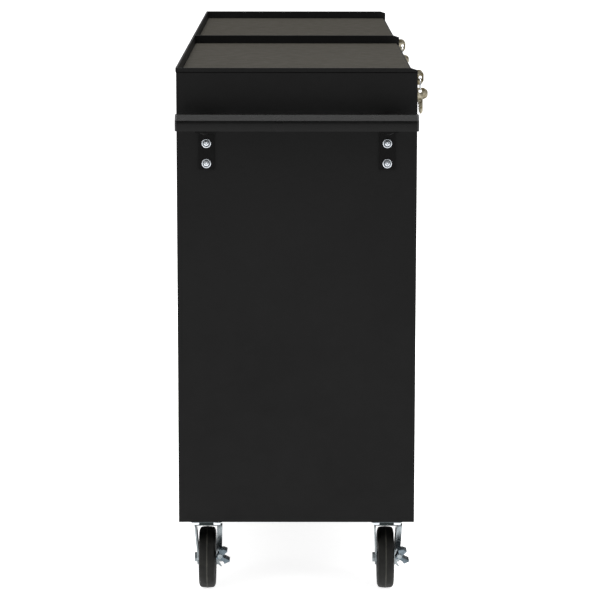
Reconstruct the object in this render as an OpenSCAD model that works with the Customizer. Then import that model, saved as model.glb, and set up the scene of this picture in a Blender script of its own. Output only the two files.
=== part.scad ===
// Rolling tool chest: two equal drawer cabinets joined end to end on eight casters,
// with an open lipped tray on top of each and a push handle on the left end.
// Millimetres. +X runs along the chest to its right end, -Y is the front, +Z is up.
// The origin is the middle of the floor under the whole object, handle and keys included.

/* [Cabinet] */
// Length of one cabinet
bay_length = 620; // [560:1:700]
// Depth of a cabinet from front edge to back panel
body_depth = 330; // [310:1:360]
// Height of a cabinet from its underside to the top of its lip
body_height = 638; // [600:1:680]
// Gap between the two cabinets
bay_gap = 2; // [1.8:0.1:4]
// Thickness of the cabinet's sheet steel
sheet = 1.2; // [1:0.1:1.5]
// Width of the front frame beside the drawers
frame_width = 19; // [16:1:24]
// Height of the front rail below the drawers
rail_height = 18; // [12:1:30]

/* [Top tray] */
// Depth of the tray's deck below the top of the lip
deck_drop = 14.6; // [10:0.1:20]
// Thickness of the anti-slip mat on the deck
mat_thickness = 2; // [1:0.5:3]
// How far the folded hem hangs down outside the panels
hem_drop = 5.3; // [3:0.1:8]
// Thickness of the hem's sheet, which is also how far it stands proud
hem_sheet = 0.85; // [0.6:0.05:0.9]
// Lower edge of the front apron below the top of the lip
apron_drop = 98; // [96:1:110]
// Radius of the bend between deck and apron
deck_bend = 3; // [2:0.5:5]

/* [Drawers] */
// Number of low drawers at the top of each cabinet
low_drawers = 3; // [1:1:4]
// Number of tall drawers below them
tall_drawers = 2; // [1:1:2]
// Height of a low drawer's front
low_front = 76; // [70:1:84]
// Gap above and below each front
front_gap = 3; // [2:0.5:4]
// Height of the recessed finger pull along each front
pull_height = 26; // [22:1:30]
// How far the fronts stand behind the cabinet's front edge
front_inset = 0.8; // [0.5:0.1:2]

/* [Push handle] */
// Reach of the handle bar from the end panel
grip_reach = 62; // [55:1:80]
// Overall length of the bar with its end caps
bar_length = 329; // [280:1:330]
// Distance of each bracket's centre from the front or back edge
bracket_inset = 41; // [35:1:60]
// Width of a bracket's plate on the panel
bracket_width = 21.5; // [18:0.5:26]
// Width of a bracket's arm under the bar
arm_width = 28; // [22:1:34]

/* [Casters] */
// Height of a caster from the floor to its mounting face
caster_height = 112; // [106:1:130]
// Wheel diameter
wheel_diameter = 88; // [76:1:90]
// Width of the tread
tyre_width = 23.4; // [20:0.1:23.8]
// Trail of the swivel casters
trail = 24; // [18:1:28]
// Distance of the caster rows from the front and back edges
row_inset = 38; // [38:1:60]
// Distance of the swivel axes from the chest's outer ends
swivel_inset = 38; // [34:1:60]
// Distance of the rigid casters from the inner ends of the cabinets
rigid_inset = 50; // [46:1:80]

/* [Locks and keys] */
// Lock axis below the top of the lip
lock_drop = 40; // [36:1:44]
// Width of a key's bow
bow_width = 22.5; // [20:0.5:28]
// Length of a key's bow
bow_length = 17; // [15:1:20]
// Distance from the front edge to the far end of an inserted key
key_reach = 24; // [23:1:28]

/* [Hidden] */
SIDES = ["left", "right"];
ROWS = ["front", "back"];
DRAWERS = [1:low_drawers + tall_drawers];

function named(stem, ends) = [for (e = ends) str(stem, "_", e)];
CORNERS = [for (s = SIDES) for (r = ROWS) str(s, "_", r)];
DRAWER_IDS = [for (s = SIDES) for (i = DRAWERS) str(s, "_", i)];

// Smoothness of the round pieces
$fn = 48;
// Faces that would only touch inside one solid overlap by this much, and cuts run past by it
eps = 0.01;
// Air between pieces that move past each other
clear = 0.3;
// Air round pieces that are pressed or screwed together, so that each stays its own solid
seat = 0.05;

powder_coat = [0.11, 0.11, 0.12];
mat_grey = [0.30, 0.29, 0.27];
zinc = [0.74, 0.77, 0.80];
satin_alloy = [0.62, 0.63, 0.65];
black_rubber = [0.13, 0.13, 0.12];
black_plastic = [0.07, 0.07, 0.075];
key_nickel = [0.72, 0.69, 0.60];

// Centre of the object's outline lies on the origin
bow_hole_inset = 5;
spare_reach = key_reach - bow_hole_inset + bow_width / 2;
x_seam = (grip_reach - hem_sheet) / 2;
y_front = (spare_reach - hem_sheet) / 2 - body_depth / 2;

// Levels and faces in a cabinet's own frame, which has its corner at the left end, the
// front edge and the underside
deck_top = body_height - deck_drop;
apron_bottom = body_height - apron_drop;
inner_right = bay_length - sheet;
inner_back = body_depth - sheet;
lip_corner = [9, 3];
flange_depth = 40;
upright_y = 280;
upright_depth = 25;
pan_sheet = 1.5;
// Lower end of the posts, clear of the casters' bolts
post_bottom = 10;

// Drawers
drawer_side_gap = 2;
front_left = frame_width + drawer_side_gap;
front_width = bay_length - 2 * front_left;
front_depth = 16.2;
front_back = front_inset + front_depth;
drawer_count = low_drawers + tall_drawers;
stack_height = apron_bottom - rail_height - (drawer_count + 1) * front_gap;
tall_front = (stack_height - low_drawers * low_front) / tall_drawers;
box_left = 32;
box_back = 306;
box_floor = 5;
box_drop = 14;
box_sheet = 1;
slide_y = [24, 304];
slide_z = 24;
slide_height = 30;
slide_width = 10.5;
runner_height = 25;
tab_z = 30;
tab_sheet = 1.5;
tab_hook = 7;

// Drawer heights from the top down
function front_height(i) = i <= low_drawers ? low_front : tall_front;
function fronts_above(i) = i <= 1 ? 0 : front_height(i - 1) + front_gap + fronts_above(i - 1);
function drawer_z(i) = apron_bottom - front_gap - fronts_above(i) - front_height(i);

// Lock: plug, tail shaft, crank and lifting bar
lock_z = body_height - lock_drop;
lock_x = bay_length / 2;
housing_radius = 9.3;
plug_radius = 5.5;
plug_bore = plug_radius + 0.05;
plug_length = 25;
tail_radius = 3;
crank_radius = 5;
crank_pin = 1.5;
bar_y = [319.2, 321.2];
bar_half = 12;
bar_bottom = 28;
bar_top = lock_z + 8;
key_thickness = 2.2;
blade_width = 8;
blade_length = 20;
bow_hole_radius = 2.5;
wire_radius = 0.7;
ring_radius = 8.75;
ring_drop = bow_hole_radius - wire_radius - clear;

// Casters, measured down from the mounting face
axle_z = wheel_diameter / 2 - caster_height;
plate_size = [62, 44];
plate_thickness = 3;
plate_bolts = [24, 15];
race_radius = 19;
disc_radius = 21.5;
cup_bottom = -5.8;
disc_top = cup_bottom - clear;
crown_top = -7.8;
crown_bottom = -10.3;
crown_half = 17.2;
leg_thickness = 2.2;
leg_outer_low = 14.7;
leg_taper_end = axle_z + 12;
kingpin_radius = 5;
axle_radius = 4;
wheel_bore = axle_radius + 0.06;
hub_half = 12.2;
pedal_pin = [19, 12];
pedal_pin_radius = 2;
pedal_x = [-15.7, 3];

function bay_x(side) = side == "left" ? x_seam - bay_gap / 2 - bay_length : x_seam + bay_gap / 2;
function row_y(row) = row == "front" ? row_inset : body_depth - row_inset;
function swivel_x(side) = side == "left" ? swivel_inset : bay_length - swivel_inset;
function rigid_x(side) = side == "left" ? bay_length - rigid_inset : rigid_inset;

// ---- placing ----

module in_bay(side) {
    translate([bay_x(side), y_front, caster_height]) children();
}

// The left and right ends of one cabinet mirror each other
module both_ends() {
    children();
    translate([bay_length, 0, 0]) mirror([1, 0, 0]) children();
}

// A swivel caster's frame: its axis at the origin, the wheel trailing towards +X
module at_swivel(side, row) {
    turn = side == "left" ? 0 : 180;
    in_bay(side) translate([swivel_x(side), row_y(row), 0]) rotate([0, 0, turn]) children();
}

module at_rigid(side, row) {
    in_bay(side) translate([rigid_x(side), row_y(row), 0]) children();
}

// ---- shapes that repeat ----

// A block from one corner to the opposite one
module block(low, high) {
    translate(low) cube(high - low);
}

// A profile drawn in (Y, Z), run along X
module along_x(from, to) {
    translate([from, 0, 0]) rotate([90, 0, 90]) linear_extrude(to - from) children();
}

// A profile drawn in (X, Z), run along Y
module along_y(from, to) {
    translate([0, to, 0]) rotate([90, 0, 0]) linear_extrude(to - from) children();
}

// A round bar along Y
module rod_y(radius, from, to) {
    translate([0, to, 0]) rotate([90, 0, 0]) cylinder(r = radius, h = to - from);
}

module rounded_rect(size, radius) {
    square([size.x - 2 * radius, size.y], center = true);
    square([size.x, size.y - 2 * radius], center = true);
    for (x = [-1, 1])
        for (y = [-1, 1])
            translate([x * (size.x / 2 - radius), y * (size.y / 2 - radius)]) circle(r = radius);
}

// A hexagon nut or bolt head lying on the plane z = 0
module hexagon(radius, height) {
    cylinder(r = radius, h = height, $fn = 6);
}

// ---- cabinet ----

// An end panel's outline with the lip's front corner cut, its top lowered by drop
module end_outline(drop) {
    top = body_height - drop;
    polygon([
        [0, 0],
        [body_depth, 0],
        [body_depth, top],
        [lip_corner.x, top],
        [0, top - lip_corner.y]
    ]);
}

// Two end panels and the back panel, which the tray's hem folds over
module shell_walls() {
    both_ends() along_x(0, sheet) end_outline(hem_sheet);
    block([0, inner_back, 0], [bay_length, body_depth, body_height - hem_sheet]);
}

// Front frame beside the drawers and the channel that carries the slides' back ends
module slide_posts() {
    web = frame_width - sheet;
    block([sheet - eps, 0, 0], [frame_width, sheet, apron_bottom]);
    block([web, sheet - eps, post_bottom], [frame_width, flange_depth, apron_bottom]);
    block([web, upright_y, post_bottom], [frame_width, upright_y + upright_depth, apron_bottom]);
    for (y = [upright_y, upright_y + upright_depth - sheet])
        block([sheet - eps, y, post_bottom], [web + eps, y + sheet, apron_bottom]);
}

// Clips on the back panel that guide the lock bar
module bar_guides() {
    lip = 4;
    height = 16;
    levels = [110, 250, 420];
    side = bar_half + clear;
    face = bar_y[0] - clear;
    for (z = levels)
        for (m = [0, 1])
            translate([lock_x, 0, z]) mirror([m, 0, 0]) {
                block([side, face - sheet, 0], [side + sheet, inner_back + eps, height]);
                block([side + sheet - lip, face - sheet, 0], [side + sheet, face, height]);
            }
}

module body_shell(side) {
    color(powder_coat) in_bay(side) difference() {
        union() {
            shell_walls();
            both_ends() slide_posts();
            bar_guides();
        }
        if (side == "left") bracket_screws() screw_hole();
        joint_bolts(side) screw_hole();
    }
}

module bottom_pan(side) {
    color(powder_coat) in_bay(side) difference() {
        union() {
            block([sheet, sheet, 0], [inner_right, inner_back, pan_sheet]);
            block([frame_width, 0, 0], [bay_length - frame_width, sheet + eps, rail_height]);
            block([frame_width, 0, rail_height - sheet], [bay_length - frame_width, 26, rail_height]);
        }
        for (row = ROWS)
            for (x = [swivel_x(side), rigid_x(side)])
                translate([x, row_y(row), 0]) bolt_square() screw_hole();
    }
}

// ---- top tray ----

module deck_profile() {
    centre = [deck_bend, deck_top - deck_bend];
    translate([deck_bend, deck_top - hem_sheet]) square([inner_back - deck_bend, hem_sheet]);
    translate([0, apron_bottom]) square([hem_sheet, centre.y - apron_bottom]);
    translate([0, apron_bottom]) square([12, hem_sheet]);
    intersection() {
        translate(centre) difference() {
            circle(r = deck_bend);
            circle(r = deck_bend - hem_sheet);
        }
        translate([0, centre.y]) square(deck_bend);
    }
}

// The folded lip along one end: outer hem, top and inner wall
module end_lip() {
    inner = sheet + hem_sheet;
    intersection() {
        along_x(-hem_sheet, inner) end_outline(0);
        union() {
            block([-hem_sheet, 0, body_height - hem_drop], [inner, body_depth, body_height]);
            block([sheet, 0, deck_top - hem_sheet], [inner, body_depth, body_height]);
        }
    }
}

module back_lip() {
    inner = inner_back - hem_sheet;
    outer = body_depth + hem_sheet;
    low = body_height - hem_drop;
    block([-hem_sheet, inner, low], [bay_length + hem_sheet, outer, body_height]);
    block([sheet, inner, deck_top - hem_sheet], [inner_right, inner_back, body_height]);
}

module top_tray(side) {
    color(powder_coat) in_bay(side) difference() {
        union() {
            both_ends() end_lip();
            back_lip();
            along_x(sheet, inner_right) deck_profile();
        }
        shell_walls();
        translate([lock_x, 0, lock_z]) rod_y(housing_radius, -1, sheet);
    }
}

module tray_mat(side) {
    margin = 1;
    left = sheet + hem_sheet + margin;
    front = deck_bend + margin;
    size = [bay_length - 2 * left, inner_back - hem_sheet - margin - front];
    color(mat_grey) in_bay(side)
        translate([bay_length / 2, front + size.y / 2, deck_top])
            linear_extrude(mat_thickness) rounded_rect(size, 4);
}

// ---- drawers ----

// A channel open towards +X: web at x = 0
module channel(width, height, thickness) {
    translate([0, -height / 2]) square([thickness, height]);
    for (y = [-height / 2, height / 2 - thickness])
        translate([0, y]) square([width, thickness]);
}

module slide_rails(side) {
    color(zinc) in_bay(side)
        for (i = DRAWERS)
            both_ends()
                translate([frame_width, 0, drawer_z(i) + slide_z])
                    along_y(slide_y[0], slide_y[1]) channel(slide_width, slide_height, sheet);
}

// The drawer's half of a slide, open towards the rail
module runner() {
    along_y(slide_y[0], slide_y[1]) mirror([1, 0]) channel(slide_width, runner_height, sheet);
}

// Folded steel box, open at the top
module drawer_box(height) {
    right = bay_length - box_left;
    inner = [box_left + box_sheet, front_back + box_sheet, box_floor + box_sheet];
    difference() {
        block([box_left, front_back, box_floor], [right, box_back, height - box_drop]);
        block(inner, [right - box_sheet, box_back - box_sheet, height]);
    }
}

// Face plate with returned ends and an inner skin, open above and below
module drawer_face(height) {
    right = front_left + front_width;
    difference() {
        block([front_left, front_inset, 0], [right, front_back + eps, height - pull_height]);
        block(
            [front_left + sheet, front_inset + sheet, -1],
            [right - sheet, front_back - box_sheet, height]
        );
    }
}

// Downturned tab on the drawer's back, which the lock bar's hook catches
module lock_tab() {
    reach = 11.5;
    half = 10;
    finger = box_back + reach;
    block([lock_x - half, box_back - eps, tab_z], [lock_x + half, finger, tab_z + tab_sheet]);
    block([lock_x - half, finger - 2, tab_z - tab_hook], [lock_x + half, finger, tab_z + eps]);
}

module drawer(side, i) {
    height = front_height(i);
    color(powder_coat) in_bay(side) translate([0, 0, drawer_z(i)]) {
        union() {
            drawer_box(height);
            drawer_face(height);
            lock_tab();
        }
        both_ends() translate([box_left - seat, 0, slide_z]) runner();
    }
}

// Full-width pull: a channel open to the front with a lip to hook fingers behind
module pull_profile() {
    wall = 1.5;
    lip = 8;
    polygon([
        [0, pull_height],
        [front_depth, pull_height],
        [front_depth, 0],
        [0, 0],
        [0, wall],
        [front_depth - wall, 2 * wall],
        [front_depth - wall, pull_height - wall],
        [wall, pull_height - wall],
        [wall, pull_height - lip],
        [0, pull_height - lip]
    ]);
}

module drawer_pull(side, i) {
    z = drawer_z(i) + front_height(i) - pull_height;
    color(satin_alloy) in_bay(side)
        translate([0, front_inset, z]) along_x(front_left, front_left + front_width) pull_profile();
}

// ---- locks and keys ----

// A key lying along +Y with its bow's end at the origin, flat in the YZ plane
module key() {
    along_x(-key_thickness / 2, key_thickness / 2) difference() {
        union() {
            translate([bow_length / 2, 0]) rounded_rect([bow_length, bow_width], 7);
            translate([bow_length - 1, -blade_width / 2]) square([blade_length, blade_width]);
            translate([bow_length + blade_length - 1, 0])
                polygon([[0, -blade_width / 2], [3, -1], [3, 1], [0, blade_width / 2]]);
        }
        translate([bow_hole_inset, 0]) circle(r = bow_hole_radius);
        for (i = [0:3])
            translate([bow_length + 5 + 4 * i, blade_width / 2]) circle(r = 1.2 + 0.4 * (i % 2));
    }
}

module at_lock(side) {
    in_bay(side) translate([lock_x, 0, lock_z]) children();
}

module lock_housings() {
    back = 22;
    bezel = [housing_radius + 2.2, 2];
    nut_radius = 13.5;
    nut_back = 5;
    color(zinc)
        for (side = SIDES)
            at_lock(side) {
                difference() {
                    union() {
                        rod_y(housing_radius, -1, back);
                        rod_y(bezel[0], -bezel[1], 0);
                    }
                    rod_y(plug_bore, -bezel[1] - 1, back + 1);
                }
                translate([0, nut_back, 0]) rotate([90, 0, 0]) difference() {
                    hexagon(nut_radius, nut_back - hem_sheet);
                    translate([0, 0, -1]) cylinder(r = housing_radius + seat, h = nut_back + 2);
                }
            }
}

// Turning plug with its tail shaft and crank, and the key that stands in it
module lock_plug(side) {
    front = -2.3;
    crank_y = 312;
    pin_angle = -45;
    color(key_nickel) at_lock(side) {
        difference() {
            union() {
                rod_y(plug_radius, front, plug_length);
                rod_y(tail_radius, plug_length - eps, crank_y);
                rod_y(crank_radius + 3, crank_y - 3, crank_y);
                rotate([0, -pin_angle, 0])
                    translate([crank_radius, 0, 0]) rod_y(crank_pin, crank_y - eps, bar_y[1] + 1);
            }
            block(
                [-key_thickness / 2 - seat, front - 1, -blade_width / 2 - seat],
                [key_thickness / 2 + seat, plug_length - 4, blade_width / 2 + seat]
            );
        }
        translate([0, -key_reach, 0]) key();
    }
}

// Wire ring through both bows, and the second key hanging from it
module spare_key(side) {
    reach = key_reach - bow_hole_inset;
    color(key_nickel) at_lock(side) translate([0, -reach, -ring_drop]) {
        translate([0, 0, -ring_radius]) rotate([90, 0, 0])
            rotate_extrude() translate([ring_radius, 0]) circle(r = wire_radius, $fn = 24);
        translate([0, 0, bow_hole_inset - ring_drop - 2 * ring_radius]) rotate([-90, 0, 0]) key();
    }
}

// Flat bar that the crank lifts, with one hook for each drawer
module lock_bar(side) {
    hook_half = 8;
    hook_y = 311.5;
    hook_rise = 8;
    hook_drop = tab_hook + 1.5 + hook_rise;
    slot = [14, 4];
    slot_z = lock_z - crank_radius * sin(45);
    color(zinc) in_bay(side) difference() {
        union() {
            block([lock_x - bar_half, bar_y[0], bar_bottom], [lock_x + bar_half, bar_y[1], bar_top]);
            for (i = DRAWERS)
                translate([lock_x, 0, drawer_z(i) + tab_z - hook_drop]) {
                    block([-hook_half, hook_y, 0], [hook_half, bar_y[0] + eps, 2]);
                    block([-hook_half, hook_y, 0], [hook_half, hook_y + 2, hook_rise]);
                }
        }
        translate([lock_x + crank_radius - slot.x / 2, bar_y[0] - 1, slot_z - slot.y / 2])
            cube([slot.x, 4, slot.y]);
    }
}

// ---- push handle on the left end ----

// Section of the bar in (X, Z), X outwards from the end panel and Z down from the lip's top,
// both as negative numbers: inner face, flat top, sloping front and underside
bar_inner = [-38, -62];
bar_top_edges = [-41, -53.5];
bar_top_level = -58.8;
bar_brow = [1.2, -66];
bar_nose = -71;
bar_chin = [1.4, -80.5];
function bar_section(wall) = [
    [bar_inner[0] - wall, bar_inner[1] - wall / 2],
    [bar_top_edges[0] - wall / 2, bar_top_level - wall],
    [bar_top_edges[1] + wall / 2, bar_top_level - wall],
    [-grip_reach + bar_brow[0] + wall, bar_brow[1] - wall / 2],
    [-grip_reach + wall, bar_nose],
    [-grip_reach + bar_chin[0] + wall, bar_chin[1] + wall],
    [bar_inner[0] - wall, bar_chin[1] + wall]
];
bracket_rows = [bracket_inset, body_depth - bracket_inset];
bar_screw_x = -48;
bar_screw_length = 5.5;
arm_flare = -16;
arm_end = -57;
arm_top = bar_chin[1];
arm_thickness = 2.5;
plate_bottom = -139.6;
screw_z = [-103, -130.8];
cap_thickness = 2.5;
bar_start = (body_depth - bar_length) / 2;
bracket_plate = 3;

module in_handle() {
    in_bay("left") translate([0, 0, body_height]) children();
}

module handle_bar() {
    color(powder_coat) in_handle()
        difference() {
            along_y(bar_start + cap_thickness, bar_start + bar_length - cap_thickness) difference() {
                polygon(bar_section(0));
                polygon(bar_section(2));
            }
            for (y = bracket_rows) bar_screw_hole(y);
        }
}

// Hole for the screw that holds the bar from below
module bar_screw_hole(y) {
    translate([bar_screw_x, y, arm_top]) rotate([0, 90, 0]) screw_hole();
}

module handle_end_caps() {
    spigot = 8;
    color(black_plastic) in_handle()
        for (m = [0, 1])
            translate([0, m * body_depth, 0]) mirror([0, m, 0]) {
                along_y(bar_start, bar_start + cap_thickness) polygon(bar_section(0));
                along_y(bar_start + cap_thickness - eps, bar_start + spigot) polygon(bar_section(2.2));
            }
}

module handle_brackets() {
    color(powder_coat) in_handle()
        for (y = bracket_rows)
            difference() {
                translate([0, y, 0]) {
                    block(
                        [-bracket_plate, -bracket_width / 2, plate_bottom],
                        [0, bracket_width / 2, arm_top]
                    );
                    translate([0, 0, arm_top - arm_thickness]) linear_extrude(arm_thickness)
                        polygon([
                            [0, -bracket_width / 2],
                            [arm_flare, -arm_width / 2],
                            [arm_end, -arm_width / 2],
                            [arm_end, arm_width / 2],
                            [arm_flare, arm_width / 2],
                            [0, bracket_width / 2]
                        ]);
                }
                for (z = screw_z) translate([0, y, z]) screw_hole();
                bar_screw_hole(y);
            }
}

// Hole for an M6 screw along X, or along Z inside bolt_square
module screw_hole() {
    rotate([0, 90, 0]) cylinder(r = 3.2, h = 24, center = true);
}

// Places on the left end panel, in the cabinet's frame
module bracket_screws() {
    for (y = bracket_rows)
        for (z = screw_z) translate([0, y, body_height + z]) children();
}

// Washer-head screw with a cross recess: the head is towards -X and seats at x = 0
module cross_screw(length) {
    washer = [6.7, 1.2];
    head = 3.6;
    recess = [5.2, 1.2, 1.8];
    rotate([0, -90, 0]) difference() {
        union() {
            cylinder(r = washer[0], h = washer[1]);
            cylinder(r1 = 5.4, r2 = 4.1, h = head);
            translate([0, 0, -length]) cylinder(r = 3, h = length + 1);
        }
        for (turn = [0, 90])
            rotate([0, 0, turn]) translate([-recess.x / 2, -recess.y / 2, head - recess.z])
                cube([recess.x, recess.y, recess.z + 1]);
    }
}

module handle_screws() {
    color(zinc) {
        in_bay("left") bracket_screws() translate([-bracket_plate, 0, 0]) cross_screw(12);
        in_handle()
            for (y = bracket_rows)
                translate([bar_screw_x, y, arm_top - arm_thickness])
                    rotate([0, -90, 0]) cross_screw(bar_screw_length);
    }
}

// ---- casters ----

module bolt_square() {
    for (x = [-1, 1])
        for (y = [-1, 1])
            translate([x * plate_bolts.x, y * plate_bolts.y, 0]) rotate([0, 90, 0]) children();
}

module caster_plate() {
    difference() {
        translate([0, 0, -plate_thickness])
            linear_extrude(plate_thickness) rounded_rect(plate_size, 4);
        bolt_square() screw_hole();
    }
}

// Fixed half of the swivel casters: plate, race cup and riveted kingpin
module caster_plates() {
    rivet = crown_bottom - clear;
    color(zinc)
        for (side = SIDES)
            for (row = ROWS)
                at_swivel(side, row) {
                    caster_plate();
                    translate([0, 0, cup_bottom])
                        cylinder(r = race_radius, h = -plate_thickness - cup_bottom);
                    translate([0, 0, rivet - 1]) cylinder(r = kingpin_radius, h = -rivet);
                    translate([0, 0, rivet - 2.6]) cylinder(r = 8, h = 2.6);
                }
}

// Side view of a fork's legs, from the crown's ends at top to the round end at the axle
module leg_outline(axle_x, top, half) {
    polygon([
        [-half, top],
        [half, top],
        [axle_x + 11, axle_z + 4],
        [axle_x, axle_z - 2],
        [axle_x - 11, axle_z + 1]
    ]);
    translate([axle_x, axle_z]) circle(r = 11);
}

// End view of one leg: it leans in from the crown to the hub
module leg_section(top) {
    low = axle_z - 12;
    polygon([
        [crown_half, top],
        [leg_outer_low, leg_taper_end],
        [leg_outer_low, low],
        [leg_outer_low - leg_thickness, low],
        [leg_outer_low - leg_thickness, leg_taper_end],
        [crown_half - leg_thickness, top]
    ]);
}

module fork_legs(axle_x, top, half) {
    for (m = [0, 1])
        mirror([0, m, 0]) intersection() {
            along_x(-half - 1, axle_x + half) leg_section(top);
            along_y(0, crown_half + 1) leg_outline(axle_x, top, half);
        }
}

// Axle bolt with its head at the back and its nut at the front
module axle_bolt(axle_x) {
    translate([axle_x, 0, axle_z]) {
        rod_y(axle_radius, -21.2, leg_outer_low + 1);
        translate([0, leg_outer_low + seat, 0]) rotate([-90, 0, 0]) hexagon(6.9, 3.6);
    }
    translate([axle_x, -leg_outer_low - seat, axle_z]) rotate([90, 0, 0]) difference() {
        hexagon(7, 5.6);
        translate([0, 0, -1]) cylinder(r = axle_radius + seat, h = 8);
    }
}

// Flange turned out from the leg's leading edge, which carries the brake pedal
module brake_flange() {
    lean = 0.52;
    along = [crown_top, axle_z - 15];
    edge = [-17, -17 + lean * (along[0] - along[1])];
    intersection() {
        along_y(-30, 0) polygon([
            [edge[0], along[0]],
            [edge[0] + 2.2, along[0]],
            [edge[1] + 2.2, along[1]],
            [edge[1], along[1]]
        ]);
        along_x(-30, 40) polygon([
            [-leg_outer_low + 1, axle_z - 8],
            [-leg_outer_low + 1, leg_taper_end],
            [-crown_half + 1.6, crown_top],
            [-22.5, crown_top],
            [-21, axle_z + 17],
            [-22.5, axle_z + 15],
            [-22.5, axle_z + 7],
            [-18, axle_z + 1],
            [-16.8, axle_z - 6],
            [-20.2, axle_z - 13],
            [-19, axle_z - 14]
        ]);
    }
}

// Stud for the brake pedal, along X from the flange
module pedal_stud() {
    translate([pedal_x[0] - clear, -pedal_pin.x, axle_z + pedal_pin.y]) rotate([0, 90, 0])
        cylinder(r = pedal_pin_radius, h = 10 - pedal_x[0]);
    translate([pedal_x[0] - clear - 1.4, -pedal_pin.x, axle_z + pedal_pin.y]) rotate([0, 90, 0])
        cylinder(r = 3.2, h = 1.4 + eps);
}

module swivel_fork(side, row) {
    half = 20;
    color(zinc) at_swivel(side, row) {
        difference() {
            union() {
                translate([0, 0, crown_top - eps]) cylinder(r = disc_radius, h = disc_top - crown_top);
                block([-half, -crown_half, crown_bottom], [half, crown_half, crown_top]);
                fork_legs(trail, crown_top - 1, half);
                brake_flange();
                pedal_stud();
            }
            translate([0, 0, crown_bottom - 1]) cylinder(r = kingpin_radius + 0.05, h = 6);
            translate([trail, 0, axle_z]) rod_y(axle_radius + seat, -20, 20);
        }
        axle_bolt(trail);
    }
}

module rigid_casters() {
    crown = -plate_thickness - 2.5;
    half = 17.5;
    color(zinc)
        for (side = SIDES)
            for (row = ROWS)
                at_rigid(side, row) {
                    difference() {
                        union() {
                            caster_plate();
                            block([-half, -crown_half, crown], [half, crown_half, -plate_thickness + eps]);
                            fork_legs(0, crown + 1, half);
                        }
                        translate([0, 0, axle_z]) rod_y(axle_radius + seat, -20, 20);
                    }
                    axle_bolt(0);
                }
}

// Rocker pedal: its lower wing is trodden down and its tab then bears on the tyre. The outlines
// are in (Y, Z) from the axle's centre: boss, tab, upper wing, lower wing
module brake_pedal(side, row) {
    color(zinc) at_swivel(side, row) translate([0, 0, axle_z])
        along_x(pedal_x[0], pedal_x[1]) difference() {
            union() {
                translate([-pedal_pin.x, pedal_pin.y]) circle(r = 4.2);
                polygon([[-17, 8], [-14.4, 7.4], [-13.2, 8], [-13.3, 9.2], [-16, 13]]);
                polygon([[-17, 20.6], [-24, 21.6], [-29.2, 19.6], [-29, 18], [-23.8, 13.6], [-19, 9]]);
                polygon([
                    [-16, 11.5],
                    [-22, 11],
                    [-32.6, 5.6],
                    [-32.4, 4],
                    [-25, 0.8],
                    [-23.8, 3.6],
                    [-18, 7.5]
                ]);
            }
            translate([-pedal_pin.x, pedal_pin.y]) circle(r = pedal_pin_radius + 0.05);
        }
}

// Wheel on the axle's centre: a pressed hub inside a solid rubber tyre
module wheel() {
    rim = 27;
    shoulder = 4.5;
    tread = wheel_diameter / 2;
    half = tyre_width / 2;
    rotate([90, 0, 0]) {
        rotate_extrude() polygon([
            [wheel_bore, -hub_half],
            [9, -hub_half],
            [11, -5],
            [22, -5],
            [24, -10.5],
            [rim, -10.5],
            [rim, 10.5],
            [24, 10.5],
            [22, 5],
            [11, 5],
            [9, hub_half],
            [wheel_bore, hub_half]
        ]);
        rotate_extrude() {
            translate([rim + seat, shoulder - half])
                square([tread - rim - seat, tyre_width - 2 * shoulder]);
            translate([rim + seat, -half]) square([tread - rim - seat - shoulder, tyre_width]);
            for (y = [-1, 1])
                translate([tread - shoulder, y * (half - shoulder)]) circle(r = shoulder);
        }
    }
}

module swivel_wheel(side, row) {
    color(black_rubber) at_swivel(side, row) translate([trail, 0, axle_z]) wheel();
}

module rigid_wheel(side, row) {
    color(black_rubber) at_rigid(side, row) translate([0, 0, axle_z]) wheel();
}

// ---- hexagon bolts: casters to pans, and cabinet to cabinet ----

// Places of the bolts through the two inner end panels, in either cabinet's frame
module joint_bolts(side) {
    depths = [70, 240];
    levels = [60, 500];
    for (y = depths)
        for (z = levels)
            translate([side == "left" ? bay_length : 0, y, z]) children();
}

// Bolt up through plate and pan, its head below, and its nut
module caster_bolt() {
    head = 4;
    translate([0, 0, -plate_thickness - head - seat]) {
        hexagon(5.6, head);
        cylinder(r = 3, h = head + 12);
    }
    translate([0, 0, pan_sheet + seat]) nut();
}

module nut() {
    difference() {
        hexagon(5.6, 5);
        translate([0, 0, -1]) cylinder(r = 3 + seat, h = 7);
    }
}

// Bolt along X through both panels, with a spacer in the gap
module joint_bolt() {
    head = 4;
    rotate([0, 90, 0]) {
        translate([0, 0, -sheet - head - seat]) {
            hexagon(5.6, head);
            cylinder(r = 3, h = head + bay_gap + 2 * sheet + 7);
        }
        difference() {
            cylinder(r = 9, h = bay_gap);
            translate([0, 0, -1]) cylinder(r = 3 + seat, h = bay_gap + 2);
        }
        translate([0, 0, bay_gap + sheet + seat]) nut();
    }
}

module hex_bolts() {
    color(zinc) {
        for (side = SIDES)
            for (row = ROWS) {
                at_swivel(side, row) bolt_square() rotate([0, -90, 0]) caster_bolt();
                at_rigid(side, row) bolt_square() rotate([0, -90, 0]) caster_bolt();
            }
        in_bay("left") joint_bolts("left") joint_bolt();
    }
}

// ---- what is drawn ----

for (s = SIDES) {
    body_shell(s);
    bottom_pan(s);
    top_tray(s);
    tray_mat(s);
    slide_rails(s);
    lock_plug(s);
    spare_key(s);
    lock_bar(s);
    for (i = DRAWERS) {
        drawer(s, i);
        drawer_pull(s, i);
    }
    for (r = ROWS) {
        swivel_fork(s, r);
        brake_pedal(s, r);
        swivel_wheel(s, r);
        rigid_wheel(s, r);
    }
}
lock_housings();
handle_bar();
handle_end_caps();
handle_brackets();
handle_screws();
caster_plates();
rigid_casters();
hex_bolts();
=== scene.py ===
import math

import bmesh
import bpy
from mathutils import Matrix, Vector


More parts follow.
